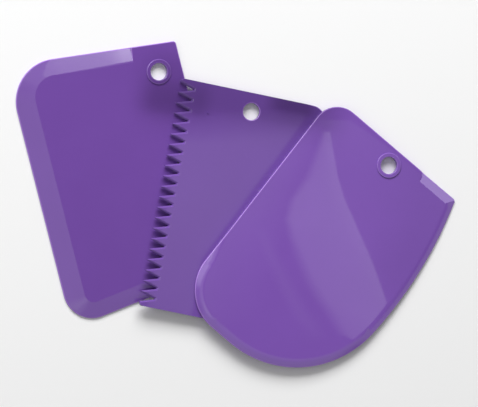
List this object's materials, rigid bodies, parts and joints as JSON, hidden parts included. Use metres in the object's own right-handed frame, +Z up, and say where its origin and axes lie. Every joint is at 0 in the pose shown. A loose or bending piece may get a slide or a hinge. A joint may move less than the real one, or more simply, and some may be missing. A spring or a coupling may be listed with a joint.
{
  "type": "icing smoother",
  "caption": "Flexible plastic icing smoothers lying in a fanned pile: an edge scraper with tapered sides, a toothed comb scraper and a curved bowl scraper, each with a hang hole.",
  "frame": {"origin": "on the table, under the middle of the pile's bounding box", "axes": "+Z up from the table, +X from the edge scraper towards the bowl scraper along the fan, +Y towards the ends of the comb scraper and the edge scraper that have the hang holes"},
  "size_m": [0.2132, 0.1532, 0.0067],
  "materials": {
    "purple_plastic": "gloss"
  },
  "bodies": {
    "edge_scraper": {"edge_scraper": "purple_plastic"},
    "comb_scraper": {"comb_scraper": "purple_plastic"},
    "bowl_scraper": {"bowl_scraper": "purple_plastic"}
  },
  "joints": [
    {"name": "comb_lift", "type": "slide", "parent": "edge_scraper", "child": "comb_scraper", "axis": [0, 0, 1], "range_m": [0, 0.06]},
    {"name": "bowl_lift", "type": "slide", "parent": "comb_scraper", "child": "bowl_scraper", "axis": [0, 0, 1], "range_m": [0, 0.06]}
  ]
}
